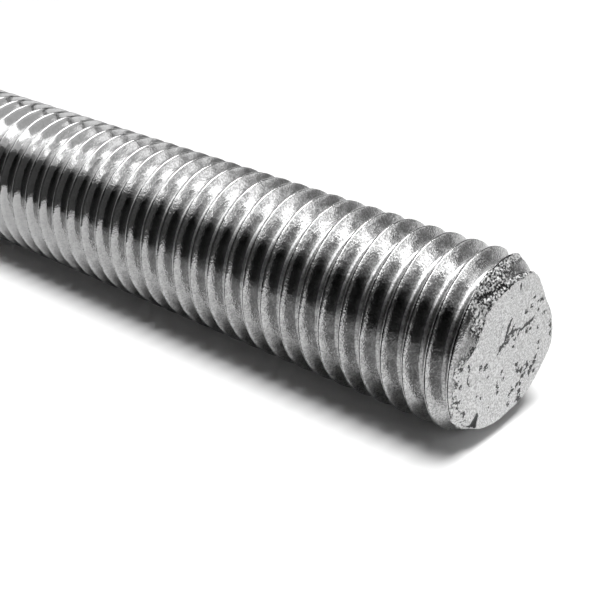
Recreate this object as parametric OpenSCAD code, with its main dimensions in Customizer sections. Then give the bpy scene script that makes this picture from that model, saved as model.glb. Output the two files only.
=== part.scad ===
// Length of fully threaded steel rod, lying on its side along X on the plane Z = 0.
// The sawn end, a little out of square and unevenly bevelled, is at +X. The front is -Y.

/* [Rod] */
// Length along the axis, over the two end faces
rod_len = 152.4; // [60:0.1:170]
// Diameter over the thread crests
crest_d = 18.9; // [12:0.1:30]

/* [Thread] */
// Distance along the rod from one crest to the next
pitch = 2.54; // [2.3:0.01:4]
// Angle between the two flanks of the thread
flank_angle = 60; // [55:1:70]
// Width of the flat on the crest
crest_w = 0.32; // [0.1:0.01:0.6]
// Width of the flat at the root
root_w = 0.4; // [0.1:0.01:0.8]
// Place round the rod where the crest runs out through the sawn face, from the top to the front
runout_turn = 229; // [0:1:359]

/* [Sawn end] */
// Angle by which the sawn face is out of square, turned to the front
sawn_lean = 4; // [0:0.5:8]
// Depth of the bevel below the thread crests, at the sawn face
sawn_bevel_depth = 1.9; // [0.5:0.1:4]
// Length along the rod that a bevel of that depth takes
sawn_bevel_len = 1.6; // [0.3:0.1:4]
// Distance of the bevel's own axis from the axis of the rod
sawn_bevel_shift = 0.6; // [0:0.1:1]
// Direction of that shift round the rod, from the top to the front
sawn_bevel_turn = 130; // [0:1:359]

/* [Plain end] */
// Depth of the chamfer below the thread crests, at the plain face
plain_chamfer_depth = 1.75; // [0.5:0.05:4]
// Length of the chamfer along the rod
plain_chamfer_len = 1.5; // [0.3:0.1:4]

/* [Hidden] */
$fn = 96;

crest_r = crest_d / 2;
root_r = crest_r - (pitch - crest_w - root_w) / 2 / tan(flank_angle / 2);

// The thread is a strip of this section wound up the rod: place along the rod and radius
section = [
    [-crest_w / 2, crest_r],
    [crest_w / 2, crest_r],
    [(pitch - root_w) / 2, root_r],
    [(pitch + root_w) / 2, root_r]
];
last_corner = len(section) - 1;
// Flat steps that make up one turn
turn_steps = 20;
// Turns wound past the sawn face, and in all, so that both ends are cut from full thread
spare_turns = 2;
turns = ceil(rod_len / pitch) + 2 * spare_turns;
last_step = turns * turn_steps;
first_x = rod_len / 2 + pitch * (spare_turns - turns - runout_turn / 360);
// How far the tools that cut the ends reach past the crests and past the spare thread
tool_reach = 3;

// The middle of each flat step touches the true round, so the rod's width and height are true
// and it lies on a flat. Its corners fall half a step to each side of the flat's middle.
function thread_point(step, corner) =
    let (
        angle = 360 * (step + 0.5) / turn_steps,
        radius = section[corner][1] / cos(180 / turn_steps)
    )
    [
        first_x + pitch * (step + 0.5) / turn_steps + section[corner][0],
        -radius * sin(angle),
        radius * cos(angle)
    ];

// Number of the point at a step and corner; one past the last corner is the next turn's first
function at(step, corner) =
    corner > last_corner ? at(step + turn_steps, 0) : step * len(section) + corner;

// Two triangles between a step and the next, and between a corner and the next
function patch(step, corner) = [
    [at(step, corner), at(step, corner + 1), at(step + 1, corner + 1)],
    [at(step, corner), at(step + 1, corner + 1), at(step + 1, corner)]
];

// Triangles from one point to a row of others
function fan(centre, rim) = [for (i = [0:len(rim) - 2]) [centre, rim[i], rim[i + 1]]];

// The thread wound past both ends, round a solid core
module thread_stock() {
    points = [for (step = [0:last_step], corner = [0:last_corner]) thread_point(step, corner)];
    strip = [
        for (step = [0:last_step - 1], corner = [0:last_corner])
            if (corner < last_corner || step < last_step - turn_steps)
                each patch(step, corner)
    ];
    start_rim = concat(
        [for (corner = [last_corner:-1:0]) at(0, corner)],
        [for (step = [1:turn_steps]) at(step, 0)],
        [at(0, last_corner)]
    );
    end_rim = concat(
        [for (corner = [0:last_corner]) at(last_step, corner)],
        [for (step = [1:turn_steps]) at(last_step - step, last_corner)],
        [at(last_step, 0)]
    );
    start_centre = len(points);
    end_centre = start_centre + 1;
    polyhedron(
        points = concat(
            points,
            [[thread_point(0, 0)[0], 0, 0], [thread_point(last_step, last_corner)[0], 0, 0]]
        ),
        faces = concat(strip, fan(start_centre, start_rim), fan(end_centre, end_rim))
    );
}

// Cuts away all beyond X = 0, and round the edge there a bevel that lies outside a cone
module end_tool(bevel_depth, bevel_len) {
    face_r = crest_r - bevel_depth;
    tool_r = crest_r + tool_reach;
    rotate([0, 90, 0])
        rotate_extrude()
            polygon([
                [0, 0],
                [face_r, 0],
                [tool_r, -(tool_r - face_r) * bevel_len / bevel_depth],
                [tool_r, spare_turns * pitch + tool_reach],
                [0, spare_turns * pitch + tool_reach]
            ]);
}

module sawn_end_tool() {
    translate([rod_len / 2, 0, 0])
        rotate([0, 0, -sawn_lean])
            rotate([sawn_bevel_turn, 0, 0])
                translate([0, 0, sawn_bevel_shift])
                    end_tool(sawn_bevel_depth, sawn_bevel_len);
}

module plain_end_tool() {
    translate([-rod_len / 2, 0, 0])
        mirror([1, 0, 0])
            end_tool(plain_chamfer_depth, plain_chamfer_len);
}

module threaded_rod() {
    color("silver")
        translate([0, 0, crest_r])
            difference() {
                thread_stock();
                sawn_end_tool();
                plain_end_tool();
            }
}

threaded_rod();
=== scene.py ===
import math

import bpy
import bmesh
import numpy as np
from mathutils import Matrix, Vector, noise


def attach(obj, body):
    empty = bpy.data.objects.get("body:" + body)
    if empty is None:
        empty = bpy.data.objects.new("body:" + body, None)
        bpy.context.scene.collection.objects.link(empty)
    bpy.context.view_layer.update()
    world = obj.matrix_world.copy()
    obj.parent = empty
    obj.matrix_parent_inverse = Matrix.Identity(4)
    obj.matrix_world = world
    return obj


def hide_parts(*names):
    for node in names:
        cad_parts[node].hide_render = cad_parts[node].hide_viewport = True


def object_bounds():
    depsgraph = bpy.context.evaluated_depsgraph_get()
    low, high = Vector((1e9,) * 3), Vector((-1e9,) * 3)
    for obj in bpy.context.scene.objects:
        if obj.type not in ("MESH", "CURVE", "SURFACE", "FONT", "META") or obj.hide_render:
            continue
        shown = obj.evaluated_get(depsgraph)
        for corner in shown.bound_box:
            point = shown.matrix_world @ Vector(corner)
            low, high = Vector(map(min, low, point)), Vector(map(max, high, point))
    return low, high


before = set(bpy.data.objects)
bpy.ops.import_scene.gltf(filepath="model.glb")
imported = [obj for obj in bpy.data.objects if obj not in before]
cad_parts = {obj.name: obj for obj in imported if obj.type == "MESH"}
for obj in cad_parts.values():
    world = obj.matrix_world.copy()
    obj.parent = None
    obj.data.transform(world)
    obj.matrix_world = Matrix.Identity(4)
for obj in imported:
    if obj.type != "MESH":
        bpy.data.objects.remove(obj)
cad_low, cad_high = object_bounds()


# ---- Rolled thread -------------------------------------------------------------------------
# A bar of mild steel whose coarse right-hand thread is rolled between flat dies, not cut. The
# dies push metal up from both sides, so a fine open seam is left along every crest, and the
# root is round. The mesh is made in millimetres from the rod's axis, and scaled at the end.
mm_per_metre = 1000
pitch = 2.54
flank_slope = math.sqrt(3)
crest_flat = 0.32
root_round = 0.4
crest_r = (cad_high.z - cad_low.z) / 2 * mm_per_metre
half_length = -cad_low.x * mm_per_metre
# Share of a turn, from the top to the front, at which the crest runs out of the sawn face
runout = 229 / 360

# Half the section of one pitch: distance along the rod from the seam, depth below the lips.
# The seam and the lip beside it come first, then the straight flank, then the round root.
half_section = [(0, 0.11), (0.035, 0.05), (0.075, 0), (0.125, 0.008), (0.17, 0.045), (0.225, 0.125)]
for along in (0.4, 0.64):
    half_section.append((along, flank_slope * (along - crest_flat / 2)))
root_centre = flank_slope * (pitch - crest_flat) / 2 - 2 * root_round
for swing in (60, 30, 0):
    along = pitch / 2 - root_round * math.sin(math.radians(swing))
    half_section.append((along, root_centre + root_round * math.cos(math.radians(swing))))
section = half_section + [(pitch - along, depth) for along, depth in half_section[-2:0:-1]]
section_alongs = [along for along, depth in section] + [pitch]
section_depths = [depth for along, depth in section] + [section[0][1]]

# The helix starts and ends past the rod's ends, and is cut back to them later
turn_steps = 54
spare_turns = 2
turns = math.ceil(2 * half_length / pitch) + 2 * spare_turns
last_step = turns * turn_steps
first_x = half_length + pitch * (spare_turns - turns - runout)

steel = bmesh.new()
grid = []
for step in range(last_step + 1):
    turn = 2 * math.pi * step / turn_steps
    x = first_x + pitch * step / turn_steps
    row = []
    for along, depth in section:
        r = crest_r - depth
        row.append(steel.verts.new((x + along, -r * math.sin(turn), r * math.cos(turn))))
    grid.append(row)
for step in range(last_step):
    for c in range(len(section)):
        if c < len(section) - 1:
            above = grid[step][c + 1], grid[step + 1][c + 1]
        elif step < last_step - turn_steps:
            above = grid[step + turn_steps][0], grid[step + turn_steps + 1][0]
        else:
            continue
        steel.faces.new((grid[step][c], grid[step + 1][c], above[1], above[0]))

# The turns near the sawn end get finer steps, and the last one finer rows too
fine_from = half_length - 3.5 * pitch
finest_from = half_length - 0.75 * pitch
step_edges = []
for step in range(last_step):
    for c in range(len(section)):
        if grid[step][c].co.x > fine_from:
            edge = steel.edges.get((grid[step][c], grid[step + 1][c]))
            if edge:
                step_edges.append(edge)
bmesh.ops.subdivide_edges(steel, edges=step_edges, cuts=2, use_grid_fill=True)
near_edges = [edge for edge in steel.edges if min(v.co.x for v in edge.verts) > finest_from]
bmesh.ops.subdivide_edges(steel, edges=near_edges, cuts=1, use_grid_fill=True)


def around(co):
    """Turn of a point about the rod, in degrees from the top to the front."""
    return math.degrees(math.atan2(-co.y, co.z)) % 360


def bump_at(angle, middle, width):
    """1 at the middle angle, falling to 0 a few widths away, round the whole circle."""
    away = (angle - middle + 180) % 360 - 180
    return math.exp(-((away / width) ** 2))


# Rolled metal is never even: slow waves on the flanks, and lips that rise and fall. All of it is
# sunk a little, to leave room for the waves.
wave_height = 0.012
ripple_height = 0.005
wave_room = 0.016
lip_reach = 0.25
lip_drop = 0.07
# How far the painted shade in the seam reaches on either side, how much that varies, how dark it is
seam_shade_reach = 0.085
seam_shade_change = 0.03
seam_shade_most = 0.85


def rolled_shape(co, angle):
    """Depth below the lips at a point of the thread, and the painted shade along the seam there."""
    along = (co.x - half_length - pitch * (angle / 360 - runout)) % pitch
    depth = float(np.interp(along, section_alongs, section_depths))
    from_seam = min(along, pitch - along)
    on_crest = max(0, 1 - from_seam / lip_reach)
    waves = wave_height * noise.noise(co * 0.5) + ripple_height * noise.noise(co * 1.2)
    depth += wave_room + waves * (1 - 0.5 * on_crest)
    depth += lip_drop * on_crest * max(0, noise.noise(co * 0.9) - 0.05)
    # The seam is painted dark a little way to either side: painted shade in its groove
    reach = seam_shade_reach + seam_shade_change * noise.noise(co * 0.7)
    darkening = seam_shade_most * max(0, 1 - from_seam / reach)
    return max(0, depth), darkening


# ---- Sawn end ------------------------------------------------------------------------------
# The rod was sawn from a longer bar, a little out of square, and its edge knocked off with a
# file. So the face has lobes and a notch, and the last thread is torn at the top, where the
# blade broke out.
sawn_lean = math.radians(3)
sawn_out = Vector((math.cos(sawn_lean), -math.sin(sawn_lean), 0))
sawn_at = Vector((half_length, 0, 0))
# Edge of the face: its radius, then lobes and hollows as (angle, width, height)
sawn_edge_r = 7.6
edge_wobble = 0.05
sawn_lobes = [
    (336, 11, 0.42), (300, 20, -0.72), (253, 14, 0.62), (232, 22, 0.12), (190, 14, -0.25),
    (143, 18, 0.5), (100, 26, 1.12), (68, 7, -0.14), (52, 20, -0.63), (14, 14, -0.2),
]
# How steeply the filed edge rises behind the face, in the same way
file_slope = 1.5
file_slopes = [(60, 16, 5.5), (92, 20, 3), (150, 26, -1.15), (318, 38, -1.1)]
# Nicks in the edge: the angle of the steep side, the angle where it runs out, and depth
sawn_nicks = [(133.5, 142.5, 1), (205, 198, 0.4)]
nick_fall = 2.2
nick_rise_behind = 4
# The blade broke out round this angle, and tore the metal this deep
torn_middle = 14
torn_width = 34
torn_depth = 0.22
torn_evenness = 0.7
# The tears reach their full depth this far behind the face
torn_start = 0.25
tears_per_mm = 3.2
degrees_per_tear = 4.5
# It left a crack too, as (angle, distance behind the face)
torn_crack = [(8, 0.02), (10, 0.25), (12, 0.45), (16, 0.4), (20, 0.55), (25, 0.6), (31, 0.85), (35, 0.8)]
crack_reach = 0.16
crack_depth = 0.15
crack_shade_reach = 0.18
crack_sway = 0.1
# Distances round the rod are taken in millimetres, from an angle with no crack near it
degrees_per_mm = 7
crack_start = 40
# A dotted line of painted shade follows the face's edge, as (angle, width, reach behind it)
edge_shade_patches = [(78, 44, 0.12), (354, 11, 0.5)]
edge_shade_most = 0.65
# The file left the metal smooth round this angle
smooth_middle = 65
smooth_width = 13


def nick_share(angle, steep, runs_out):
    """1 from a nick's steep side to near its middle, then falling to 0 where it runs out."""
    share = (angle - steep) / (runs_out - steep)
    return min(1, nick_fall - nick_fall * share) if 0 <= share < 1 else 0


def sum_bumps(angle, bumps):
    """The sum of several bumps, each an (angle, width, height)."""
    return sum(height * bump_at(angle, middle, width) for middle, width, height in bumps)


def from_line(here, line):
    """Distance of a point from a line of straight stretches, all as pairs."""
    nearest = math.inf
    for start, end in zip(line, line[1:]):
        start = Vector(start)
        run = Vector(end) - start
        share = max(0, min(1, (here - start).dot(run) / run.length_squared))
        nearest = min(nearest, (here - start - run * share).length)
    return nearest


def sawn_shape(angle, behind, co):
    """Largest radius that the saw and the file leave, how rough the metal is, and its painted shade and
    dark marks.
    """
    edge = sawn_edge_r + sum_bumps(angle, sawn_lobes) + edge_wobble * noise.noise(co * 1.6)
    limit = edge + (file_slope + sum_bumps(angle, file_slopes)) * behind
    torn = bump_at(angle, torn_middle, torn_width) ** torn_evenness
    # Tears run round the rod, so they are stretched that way
    tear_at = Vector((co.x * tears_per_mm, angle / degrees_per_tear, 0))
    tear = noise.noise(tear_at) + 0.7 * noise.noise(tear_at * 2.1)
    limit -= torn * torn_depth * abs(tear) * min(1, behind / torn_start)
    # The torn metal is painted dark along thin lines where the tears are shallowest
    darkening = torn * max(0, min(0.7, 0.5 - 5 * abs(tear)))
    # The crack wanders with the tears
    here = Vector(((angle + crack_start) % 360 / degrees_per_mm, behind + crack_sway * tear))
    line = [((turn + crack_start) / degrees_per_mm, back) for turn, back in torn_crack]
    crack = from_line(here, line)
    limit -= crack_depth * max(0, 1 - crack / crack_reach)
    # The crack is painted dark a little past its edges: painted shade in it
    darkening = max(darkening, max(0, 1 - crack / crack_shade_reach))
    for steep, runs_out, nick_depth in sawn_nicks:
        share = nick_share(angle, steep, runs_out)
        if share > 0:
            bottom = edge - nick_depth * share + nick_rise_behind * behind
            if bottom < limit:
                limit = bottom
                # The nick is painted dark all over: painted shade in it
                darkening = 1
    # Painted shade in dots along the edge of the face
    edge_shade = 0
    for middle, width, reach in edge_shade_patches:
        edge_shade += bump_at(angle, middle, width) * max(0, 1 - behind / reach)
    darkening = max(darkening, min(edge_shade_most, edge_shade * max(0, 0.6 + noise.noise(co * 2.2))))
    rough = 1 - 0.75 * bump_at(angle, smooth_middle, smooth_width) - 0.4 * torn
    return limit, rough, darkening


# ---- Plain end -----------------------------------------------------------------------------
# The far end was cropped square and chamfered on a machine, so that a nut starts on it. Its face
# is a hair inside the solid's end.
plain_chamfer_depth = 1.75
plain_chamfer_len = 1.5
plain_face_r = crest_r - plain_chamfer_depth
plain_slope = plain_chamfer_depth / plain_chamfer_len
plain_inset = 0.002
plain_at = Vector((plain_inset - half_length, 0, 0))
plain_out = Vector((-1, 0, 0))


# ---- Forming the metal ---------------------------------------------------------------------
# Each point is drawn in to the lowest of the rolled, sawn and chamfered surfaces, and the ends
# are cut off flat. Three values stay with each point for the zinc: its painted shade and dark
# marks, how deep it lies in the thread, and how much the saw and the file have marked it.
past_end = 2
sawn_reach = 6
bruise_reach = 2.2
bruise_middle = 0
bruise_width = 18
bruise_rough = 0.4
# The root is dull only from this far behind the face
dull_from = 1.3
chamfer_reach = 3
# Depths below the lips at which the flank and the root begin, and over which they come in
flank_from = 0.1
flank_over = 0.35
root_from = 1.1
root_over = 0.3
# The crests sway along the rod by this much
sway = 0.035

dark_marks_layer = steel.verts.layers.float.new("dark_marks")
valley_layer = steel.verts.layers.float.new("valley")
sawn_layer = steel.verts.layers.float.new("sawn")
for vert in steel.verts:
    co = vert.co.copy()
    if abs(co.x) > half_length + past_end:
        continue
    angle = around(co)
    depth, darkening = rolled_shape(co, angle)
    r = crest_r - depth
    behind = (sawn_at - co).dot(sawn_out)
    sawn = 0
    if behind < sawn_reach:
        limit, rough, sawn_darkening = sawn_shape(angle, behind, co)
        if limit < r:
            r = limit
            darkening = sawn_darkening
            sawn = rough
        elif behind < bruise_reach:
            # The thread beside the break is bruised, and the root that meets the face is as
            # bright as a flank
            sawn = bruise_rough * bump_at(angle, bruise_middle, bruise_width)
            darkening = max(darkening, sawn_darkening)
            depth = min(depth, root_from + max(0, behind - dull_from))
    ahead = co.x - plain_at.x
    if ahead < chamfer_reach:
        r = min(r, plain_face_r + plain_slope * ahead)
    co.x += sway * noise.noise(Vector((co.x, angle / 25, 7.3)))
    turn = math.radians(angle)
    vert.co = Vector((co.x, -r * math.sin(turn), r * math.cos(turn)))
    # How dark the zinc is painted here: painted shade in the seam, crack and nicks, and along the edge
    vert[dark_marks_layer] = darkening
    # 0 on the crest, 1 on the flanks, 2 in the root
    on_flank = min(1, max(0, depth - flank_from) / flank_over)
    in_root = min(1, max(0, depth - root_from) / root_over)
    vert[valley_layer] = on_flank + in_root
    vert[sawn_layer] = sawn

for at, out in ((sawn_at, sawn_out), (plain_at, plain_out)):
    everything = steel.verts[:] + steel.edges[:] + steel.faces[:]
    bmesh.ops.bisect_plane(steel, geom=everything, dist=0.001, plane_co=at, plane_no=out, clear_outer=True)


# ---- End faces -----------------------------------------------------------------------------
# Both ends are closed with rings of faces, a little hollow. The sawn face is marked: cracks are
# a width and a line of (front to back, up) from its middle, and pits (front to back, up, size).
cracks = [
    (0.4, [(-1.9, 0.6), (-1.6, 1.1), (-1.1, 1.1), (-0.7, 1.9), (-0.5, 2.8), (-0.1, 3.5)]),
    (0.35, [(-0.4, 2.0), (0.9, 2.0), (2.2, 1.6), (2.7, 1.9), (3.3, 1.9), (4.1, 2.0)]),
    (0.3, [(-0.6, 1.0), (-0.4, 1.5), (0.1, 2.2), (0.5, 2.6)]),
    (0.35, [(-1.6, -2.8), (-1.4, -4.2)]),
    (0.3, [(-6.8, 1.4), (-6.7, 0.8)]),
    (0.22, [(-6.8, 0.3), (-6.8, -0.4), (-6.5, -1.0)]),
]
pits = [
    (-3.9, 0.0, 0.25), (-4.8, 0.3, 0.1), (-3.5, -1.4, 0.1), (-1.0, -1.9, 0.2), (-0.7, -2.9, 0.18),
    (-5.1, -2.9, 0.05), (-4.4, -3.3, 0.12), (-2.8, -5.2, 0.05), (-8.0, -0.4, 0.15), (-8.0, -2.0, 0.15),
    (-7.4, -3.9, 0.3), (1.6, -2.2, 0.15), (2.0, -3.0, 0.15), (2.6, -3.3, 0.15), (3.3, -3.7, 0.15),
    (3.7, -3.1, 0.25), (5.0, -3.4, 0.4), (4.5, -3.7, 0.2), (5.2, -2.8, 0.2), (4.2, -4.3, 0.15),
    (5.1, -4.5, 0.15), (2.9, -4.2, 0.3), (2.7, -4.8, 0.2), (2.1, -4.8, 0.2), (1.3, -4.9, 0.25),
    (0.9, -5.3, 0.2), (2.6, -5.8, 0.15), (2.6, -6.6, 0.4), (0.7, -6.4, 0.15), (5.5, -1.3, 0.2),
    (5.6, -2.0, 0.1), (1.1, 6.7, 0.2), (3.8, 4.5, 0.15), (5.2, 3.6, 0.3), (4.6, 3.7, 0.1),
    (3.4, 3.7, 0.2), (4.8, 2.8, 0.12), (2.5, 3.4, 0.2), (5.9, 2.0, 0.12), (7.6, 0.5, 0.4),
    (7.6, -0.1, 0.3), (7.8, -1.1, 0.3), (2.9, 1.1, 0.15), (3.7, 1.0, 0.1), (5.0, 0.6, 0.15),
    (0.4, 1.6, 0.15), (0.8, 1.1, 0.12), (1.4, 1.3, 0.1), (-0.2, 1.2, 0.15), (0.7, 0.2, 0.1),
]
pit_fade = 0.3
mark_depth = 0.06
hollow_depth = 0.012
# Open points this close to a cut are its rim, and those closer together than the gap are joined
cut_reach = 0.01
rim_gap = 0.03
sawn_rings = 30
plain_rings = 6


def face_mark(y, z):
    """How marked the sawn face is at a point: 1 in a crack or a pit, 0 away from them."""
    here = Vector((y, z))
    mark = 0
    for width, crack in cracks:
        mark = max(mark, 1 - from_line(here, crack) / width)
    for pit_y, pit_z, size in pits:
        mark = max(mark, 1 - math.hypot(y - pit_y, z - pit_z) / (size + pit_fade))
    return mark


def find_rim(at, out):
    """The open edge of the mesh that lies in a cut."""
    return [v for v in steel.verts if v.is_boundary and abs((v.co - at).dot(out)) < cut_reach]


def close_end(at, out, rings, marked):
    """Closes a cut end with rings of faces, drawn in from the cut's edge to its middle."""
    bmesh.ops.remove_doubles(steel, verts=find_rim(at, out), dist=rim_gap)
    rim = sorted(find_rim(at, out), key=lambda v: around(v.co))
    count = len(rim)
    outer = rim
    faces = []
    for ring in range(1, rings + 1):
        inner = []
        drawn_in = rim if ring < rings else rim[:1]
        for v in drawn_in:
            co = at + (v.co - at) * (1 - ring / rings)
            mark = face_mark(co.y, co.z) if marked else 0
            sunk = hollow_depth * (1 + noise.noise(co * 0.7)) + mark_depth * max(0, mark)
            inner.append(steel.verts.new(co - out * sunk))
            # The face's marks are kept to be painted dark: painted shade in its cracks and pits
            inner[-1][dark_marks_layer] = mark
            inner[-1][sawn_layer] = 1
        for i in range(count):
            j = (i + 1) % count
            if ring < rings:
                faces.append(steel.faces.new((outer[i], outer[j], inner[j], inner[i])))
            else:
                faces.append(steel.faces.new((outer[i], outer[j], inner[0])))
        outer = inner
    for face in faces:
        face.material_index = 1


close_end(sawn_at, sawn_out, sawn_rings, True)
close_end(plain_at, plain_out, plain_rings, False)
bmesh.ops.recalc_face_normals(steel, faces=steel.faces[:])
bmesh.ops.scale(steel, vec=[1 / mm_per_metre] * 3, verts=steel.verts[:])
bmesh.ops.translate(steel, vec=(0, 0, crest_r / mm_per_metre), verts=steel.verts[:])
rod_mesh = bpy.data.meshes.new("threaded_rod_steel")
steel.to_mesh(rod_mesh)
steel.free()
for polygon in rod_mesh.polygons:
    polygon.use_smooth = True
rod_mesh.set_sharp_from_angle(angle=math.radians(40))
rod = bpy.data.objects.new("threaded_rod_steel", rod_mesh)
bpy.context.scene.collection.objects.link(rod)
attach(rod, "root")
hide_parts("threaded_rod")


# ---- Zinc plating --------------------------------------------------------------------------
# The thread is electroplated with bright zinc: a thin silver-grey skin, brightest where it is
# thick on the crests and duller down in the roots. The two end faces are bare steel.
def linear(hex_colour):
    """An sRGB hex colour as linear RGBA."""
    parts = [int(hex_colour[i:i + 2], 16) / 255 for i in (1, 3, 5)]
    return [c / 12.92 if c <= 0.04045 else ((c + 0.055) / 1.055) ** 2.4 for c in parts] + [1]


def add_node(tree, kind, links=(), **settings):
    """Adds a node; links pairs each of its inputs with a value or with another node's output."""
    node = tree.nodes.new(kind)
    for name, value in settings.items():
        setattr(node, name, value)
    for socket, value in dict(links).items():
        if isinstance(value, bpy.types.NodeSocket):
            tree.links.new(value, node.inputs[socket])
        else:
            node.inputs[socket].default_value = value
    return node


# Bright zinc: mirrors the room in broken, soft-edged patches, because its skin is lumpy and
# grainy. It is duller down in the thread, with painted shade along the seam. Where the file and
# the saw tore it, it is rough and pale, with bright and dark specks of painted highlight and shade.
lump_size = 0.0009
lump_height = 0.00004
grain_size = 0.0002
grain_height = 0.000036
tear_size = 0.00016
tear_height = 0.00006
zinc = bpy.data.materials.new("bright zinc plate on rolled steel")
zinc.use_nodes = True
tree = zinc.node_tree
tree.nodes.clear()
place = add_node(tree, "ShaderNodeTexCoord").outputs["Object"]
dark_marks = add_node(tree, "ShaderNodeAttribute", attribute_name="dark_marks").outputs["Fac"]
valley = add_node(tree, "ShaderNodeAttribute", attribute_name="valley").outputs["Fac"]
sawn = add_node(tree, "ShaderNodeAttribute", attribute_name="sawn").outputs["Fac"]
lumps = add_node(tree, "ShaderNodeTexNoise", {
    "Vector": place, "Scale": 1 / lump_size, "Detail": 1,
}).outputs["Fac"]
grain = add_node(tree, "ShaderNodeTexNoise", {
    "Vector": place, "Scale": 1 / grain_size, "Detail": 2,
}).outputs["Fac"]
# Tears are longer round the rod than along it
drawn = add_node(tree, "ShaderNodeVectorMath", {0: place, 1: (1, 0.6, 0.6)}, operation="MULTIPLY")
tears = add_node(tree, "ShaderNodeTexNoise", {
    "Vector": drawn.outputs["Vector"], "Scale": 1 / tear_size, "Detail": 3,
}).outputs["Fac"]
# The skin is coarse by the sawn end and smooth along the rest of the rod
along_rod = add_node(tree, "ShaderNodeSeparateXYZ", {"Vector": place}).outputs["X"]
coarse = add_node(tree, "ShaderNodeMapRange", {
    "Value": along_rod, "From Min": 0.01, "From Max": 0.06, "To Min": 0.2, "To Max": 1.0,
}).outputs["Result"]
grain_depth = add_node(tree, "ShaderNodeMapRange", {"Value": valley, "To Min": 1.0, "To Max": 0.7})
grain_depth = add_node(tree, "ShaderNodeMath", {
    0: grain_depth.outputs["Result"], 1: coarse,
}, operation="MULTIPLY")
lump_depth = add_node(tree, "ShaderNodeMath", {0: coarse, 1: 0.75}, operation="MULTIPLY")
bump = add_node(tree, "ShaderNodeBump", {
    "Height": lumps, "Strength": lump_depth.outputs[0], "Distance": lump_height,
})
bump = add_node(tree, "ShaderNodeBump", {
    "Height": grain, "Strength": grain_depth.outputs[0], "Distance": grain_height,
    "Normal": bump.outputs["Normal"],
})
tear_depth = add_node(tree, "ShaderNodeMapRange", {"Value": sawn, "From Max": 0.5})
bump = add_node(tree, "ShaderNodeBump", {
    "Height": tears, "Strength": tear_depth.outputs["Result"], "Distance": tear_height,
    "Normal": bump.outputs["Normal"],
})
# The crests and the flanks are burnished by the dies; the root and the filed metal are duller
gloss = add_node(tree, "ShaderNodeMapRange", {
    "Value": valley, "From Min": 1.0, "From Max": 2.0, "To Min": 0.07, "To Max": 0.3,
})
metal = add_node(tree, "ShaderNodeMapRange", {
    "Value": sawn, "From Min": 0.6, "To Min": 1.0, "To Max": 0.3,
})
gloss = add_node(tree, "ShaderNodeMix", {"Factor": sawn, "A": gloss.outputs["Result"], "B": 0.45})
# The grain eats into the edges of the painted shade, and breaks the seam's dark line into dashes
dark = add_node(tree, "ShaderNodeMath", {0: dark_marks, 1: 0.6, 2: grain}, operation="MULTIPLY_ADD")
dark = add_node(tree, "ShaderNodeMapRange", {"Value": dark.outputs[0], "From Min": 0.74, "From Max": 0.82})
# Each crystal of zinc catches the light by itself, so light and dark specks lie side by side
specks = add_node(tree, "ShaderNodeMath", {0: lumps, 1: 0.4, 2: grain}, operation="MULTIPLY_ADD")
specks = add_node(tree, "ShaderNodeMapRange", {
    "Value": specks.outputs[0], "From Min": 0.54, "From Max": 0.86,
})
specks = add_node(tree, "ShaderNodeMix", {"Factor": coarse, "A": 0.55, "B": specks.outputs["Result"]})
dim = add_node(tree, "ShaderNodeMix", {
    "Factor": valley, "A": linear("#848484"), "B": linear("#7a7a7a"),
}, data_type="RGBA")
bright = add_node(tree, "ShaderNodeMix", {
    "Factor": valley, "A": linear("#c4c4c4"), "B": linear("#b4b4b4"),
}, data_type="RGBA")
colour = add_node(tree, "ShaderNodeMix", {
    "Factor": specks.outputs["Result"], "A": dim.outputs["Result"], "B": bright.outputs["Result"],
}, data_type="RGBA")
# Torn facets get painted highlights and shade, bright and dark specks; filed metal is nearly all pale
painted_facet_light = add_node(tree, "ShaderNodeMath", {0: sawn, 1: 0.3, 2: tears}, operation="MULTIPLY_ADD")
painted_facet_light = add_node(tree, "ShaderNodeMapRange", {
    "Value": painted_facet_light.outputs[0], "From Min": 0.61, "From Max": 0.83,
})
torn_colour = add_node(tree, "ShaderNodeMix", {
    "Factor": painted_facet_light.outputs["Result"], "A": linear("#2c2c2c"), "B": linear("#d4d4d4"),
}, data_type="RGBA")
colour = add_node(tree, "ShaderNodeMix", {
    "Factor": tear_depth.outputs["Result"], "A": colour.outputs["Result"],
    "B": torn_colour.outputs["Result"],
}, data_type="RGBA")
# Painted shade: the seam, crack, nicks and sawn edge, and lines in the torn metal, go dark grey
colour = add_node(tree, "ShaderNodeMix", {
    "Factor": dark.outputs["Result"], "A": colour.outputs["Result"], "B": linear("#1c1c1c"),
}, data_type="RGBA")
shader = add_node(tree, "ShaderNodeBsdfPrincipled", {
    "Base Color": colour.outputs["Result"], "Metallic": metal.outputs["Result"],
    "Roughness": gloss.outputs["Result"],
    "Normal": bump.outputs["Normal"],
})
add_node(tree, "ShaderNodeOutputMaterial", {"Surface": shader.outputs["BSDF"]})
rod_mesh.materials.append(zinc)

# Sawn steel: dull and pale, with the mottle of a coarse blade and dark ragged pits
mottle_size = 0.0002
mottle_height = 0.00003
pit_size = 0.0003
patch_size = 0.004
bare = bpy.data.materials.new("sawn steel, dull")
bare.use_nodes = True
tree = bare.node_tree
tree.nodes.clear()
place = add_node(tree, "ShaderNodeTexCoord").outputs["Object"]
marks = add_node(tree, "ShaderNodeAttribute", attribute_name="dark_marks").outputs["Fac"]
mottle = add_node(tree, "ShaderNodeTexNoise", {
    "Vector": place, "Scale": 1 / mottle_size, "Detail": 3,
}).outputs["Fac"]
ragged = add_node(tree, "ShaderNodeTexNoise", {
    "Vector": place, "Scale": 1 / pit_size, "Detail": 3,
}).outputs["Fac"]
patches = add_node(tree, "ShaderNodeTexNoise", {
    "Vector": place, "Scale": 1 / patch_size, "Detail": 1,
}).outputs["Fac"]
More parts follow.
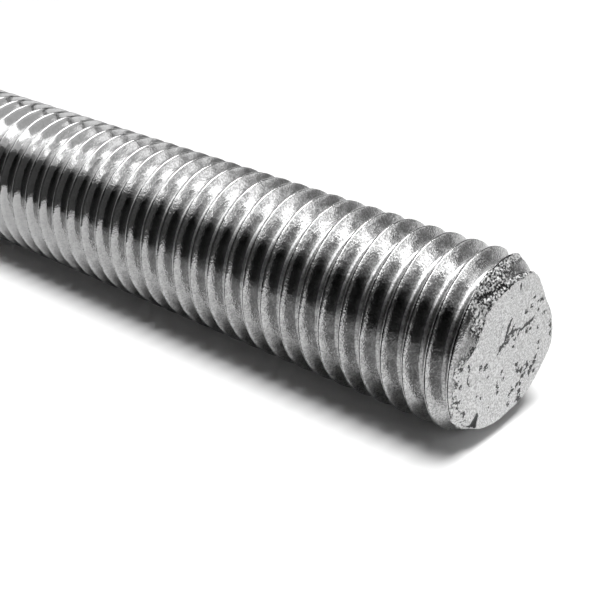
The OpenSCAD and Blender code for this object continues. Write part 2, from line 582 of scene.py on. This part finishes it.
# The face's cracks and pits are painted dark: painted shade in them
# Ragged noise eats into each mark's soft edge, and leaves stray pits elsewhere
pitting = add_node(tree, "ShaderNodeMath", {0: marks, 1: 0.45}, operation="MULTIPLY")
pitting = add_node(tree, "ShaderNodeMath", {0: pitting.outputs[0], 1: ragged}, operation="ADD")
stray = add_node(tree, "ShaderNodeMath", {
    0: patches, 1: 0.3, 2: pitting.outputs[0],
}, operation="MULTIPLY_ADD")
dark = add_node(tree, "ShaderNodeMapRange", {
    "Value": stray.outputs[0], "From Min": 0.845, "From Max": 0.885,
})
pale = add_node(tree, "ShaderNodeMapRange", {"Value": mottle, "From Min": 0.38, "From Max": 0.62})
colour = add_node(tree, "ShaderNodeMix", {
    "Factor": pale.outputs["Result"], "A": linear("#a8a8a8"), "B": linear("#dedede"),
}, data_type="RGBA")
colour = add_node(tree, "ShaderNodeMix", {
    "Factor": dark.outputs["Result"], "A": colour.outputs["Result"], "B": linear("#3c3c3c"),
}, data_type="RGBA")
height = add_node(tree, "ShaderNodeMath", {0: mottle, 1: dark.outputs["Result"]}, operation="SUBTRACT")
bump = add_node(tree, "ShaderNodeBump", {
    "Height": height.outputs[0], "Strength": 0.6, "Distance": mottle_height,
})
shader = add_node(tree, "ShaderNodeBsdfPrincipled", {
    "Base Color": colour.outputs["Result"], "Metallic": 0.3, "Roughness": 0.6,
    "Normal": bump.outputs["Normal"],
})
add_node(tree, "ShaderNodeOutputMaterial", {"Surface": shader.outputs["BSDF"]})
rod_mesh.materials.append(bare)


# ---- Table and light -----------------------------------------------------------------------
# White card under the rod and cloth round it, grey at the front and pale at the back. The metal
# mirrors two softboxes, a window and four lamps. Two more lamps light the card and the face.
card_half = 4
card_white_from = 0.3
card_white_full = 0.6
shade_sheet_edge = -0.13
shade_sheet_height = 0.002
cloth_distance = 1.6
cloth_foot = 0.001
cloth_steps = 6


def plain_material(name, hex_colour):
    """A matt material of one colour, with no shine."""
    material = bpy.data.materials.new(name)
    material.use_nodes = True
    shader = material.node_tree.nodes["Principled BSDF"]
    shader.inputs["Base Color"].default_value = linear(hex_colour)
    shader.inputs["Roughness"].default_value = 0.95
    shader.inputs["Specular IOR Level"].default_value = 0
    return material


def lay_card(name, material, near, far, height):
    """A flat card on the table, from its near edge to its far one."""
    sheet = bpy.data.meshes.new(name)
    corners = [
        (-card_half, near, height), (card_half, near, height),
        (card_half, far, height), (-card_half, far, height),
    ]
    sheet.from_pydata(corners, [], [(0, 1, 2, 3)])
    sheet.materials.append(material)
    card = bpy.data.objects.new(name, sheet)
    bpy.context.scene.collection.objects.link(card)
    return card


def seen_share(tree):
    """1 for rays from the camera, and for mirrored and transmitted ones; 0 for all others."""
    path = add_node(tree, "ShaderNodeLightPath")
    seen = add_node(tree, "ShaderNodeMath", {
        0: path.outputs["Is Camera Ray"], 1: path.outputs["Is Glossy Ray"],
    }, operation="MAXIMUM")
    seen = add_node(tree, "ShaderNodeMath", {
        0: seen.outputs[0], 1: path.outputs["Is Transmission Ray"],
    }, operation="MAXIMUM")
    return seen.outputs[0]


# The lamps fade away from the rod, so out there the card looks white by itself
card_white = plain_material("white matt card", "#ffffff")
tree = card_white.node_tree
place = add_node(tree, "ShaderNodeTexCoord").outputs["Object"]
away = add_node(tree, "ShaderNodeVectorMath", {0: place}, operation="LENGTH")
away = add_node(tree, "ShaderNodeMapRange", {
    "Value": away.outputs["Value"], "From Min": card_white_from, "From Max": card_white_full,
})
share = add_node(tree, "ShaderNodeMath", {
    0: away.outputs["Result"], 1: seen_share(tree),
}, operation="MULTIPLY")
white = add_node(tree, "ShaderNodeEmission", {"Color": (1, 1, 1, 1), "Strength": 1.0})
both = add_node(tree, "ShaderNodeMixShader", {
    0: share.outputs[0], 1: tree.nodes["Principled BSDF"].outputs["BSDF"],
    2: white.outputs["Emission"],
})
tree.links.new(both.outputs["Shader"], tree.nodes["Material Output"].inputs["Surface"])
lay_card("white_card", card_white, -card_half, card_half, 0)
# A dark sheet that only the metal sees: painted shade, standing for the shaded table in front
shade_sheet_material = plain_material("dark sheet of painted shade", "#303030")
shade_sheet = lay_card("shade_sheet", shade_sheet_material, -card_half, shade_sheet_edge, shade_sheet_height)
shade_sheet.visible_camera = False
shade_sheet.visible_shadow = False


def hang_cloth(name, material, corners):
    """A curtain round the table; corners pair a bearing with the elevation of its top there."""
    count = len(corners)
    at = np.linspace(0, count - 1, cloth_steps * count)
    bearings = np.radians(np.interp(at, range(count), [bearing for bearing, top in corners]))
    elevations = np.radians(np.interp(at, range(count), [top for bearing, top in corners]))
    tops = cloth_distance * np.tan(elevations)
    points = []
    faces = []
    for i in range(len(at)):
        x = cloth_distance * math.cos(bearings[i])
        y = cloth_distance * math.sin(bearings[i])
        points += [(x, y, cloth_foot), (x, y, tops[i])]
        if i:
            faces.append((2 * i - 2, 2 * i, 2 * i + 1, 2 * i - 1))
    cloth = bpy.data.meshes.new(name)
    cloth.from_pydata(points, [], faces)
    cloth.materials.append(material)
    curtain = bpy.data.objects.new(name, cloth)
    curtain.visible_camera = False
    bpy.context.scene.collection.objects.link(curtain)


hang_cloth("dark_cloth", plain_material("grey velvet", "#808080"), [
    (52, 13), (9, 17), (0, 22), (-16, 33), (-46, 47), (-90, 57), (-132, 64), (-168, 66),
])
hang_cloth("pale_cloth", plain_material("white cotton", "#dddddd"), [
    (52, 30), (85, 42), (138, 40), (168, 46),
])


def hang_lamp(name, place, aim, width, depth, radiance, turn=0):
    """A flat oblong lamp that shines on its aim, as bright to look at as its radiance says."""
    lamp = bpy.data.lights.new(name, "AREA")
    lamp.shape = "RECTANGLE"
    lamp.size = width
    lamp.size_y = depth
    lamp.energy = radiance * math.pi * width * depth
    holder = bpy.data.objects.new(name, lamp)
    holder.location = place
    holder.rotation_euler = (Vector(place) - Vector(aim)).to_track_quat("Z", "Y").to_euler()
    holder.rotation_euler.z += math.radians(turn)
    bpy.context.scene.collection.objects.link(holder)
    return holder


softbox = hang_lamp("softbox", (-0.05, 0.32, 1.2), (-0.05, 0.32, 0), 2.4, 1.7, 0.78)
bright_lamp = hang_lamp("bright_lamp", (-0.03, 0.42, 0.9), (-0.03, 0.42, 0), 0.38, 0.93, 12.5, 46)
hang_lamp("window", (1.2, 0.91, 0.58), (0.05, 0, 0), 0.68, 0.45, 1.35)
rear_softbox = hang_lamp("rear_softbox", (0.38, 1.34, 0.56), (0, 0, 0), 0.9, 0.36, 1.25)
front_lamp = hang_lamp("front_lamp", (0.24, -0.2, 0.92), (0.24, -0.2, 0), 0.56, 0.32, 3)
spot = hang_lamp("spot", (0.79, 0.11, 0.63), (0, 0, 0), 0.23, 0.23, 2.8)
low_spot = hang_lamp("low_spot", (0.89, 0.06, 0.45), (0, 0, 0), 0.09, 0.1, 2.8)
table_lamp = hang_lamp("table_lamp", (0.28, -0.03, 1.2), (0.28, -0.03, 0), 0.45, 0.55, 22.3)
side_lamp = hang_lamp("side_lamp", (1.3, 0.6, 0.45), (0.07, 0, 0), 0.6, 0.6, 2)
# All but the window and the last two are only mirrored. The last two are not mirrored: they light
# the card and the sawn face, and keep the shadow crisp.
for lamp in (softbox, bright_lamp, rear_softbox, front_lamp, spot, low_spot):
    lamp.visible_diffuse = False
for lamp in (table_lamp, side_lamp):
    lamp.visible_glossy = False

world = bpy.data.worlds.new("white room")
bpy.context.scene.world = world
world.use_nodes = True
tree = world.node_tree
tree.nodes.clear()
white = add_node(tree, "ShaderNodeBackground", {"Color": (1, 1, 1, 1), "Strength": seen_share(tree)})
add_node(tree, "ShaderNodeOutputWorld", {"Surface": white.outputs["Background"]})


# ---- Camera --------------------------------------------------------------------------------
# Close to the sawn end, to its front and above it. Its place is in radii of the rod.
look_down = 27.92
look_round = 39.67
eye_from_end = Vector((4.809, -9.145, 5.951))
end_inset = 0.14
end_middle = Vector((half_length - end_inset, 0, crest_r)) / mm_per_metre
eye = bpy.data.cameras.new("camera")
eye.lens = 68.45
eye.sensor_width = 36
eye.clip_start = 0.005
camera = bpy.data.objects.new("camera", eye)
camera.location = end_middle + eye_from_end * crest_r / mm_per_metre
camera.rotation_euler = (math.radians(90 - look_down), 0, math.radians(look_round))
bpy.context.scene.collection.objects.link(camera)
bpy.context.scene.camera = camera
bpy.context.scene.view_settings.view_transform = "Standard"
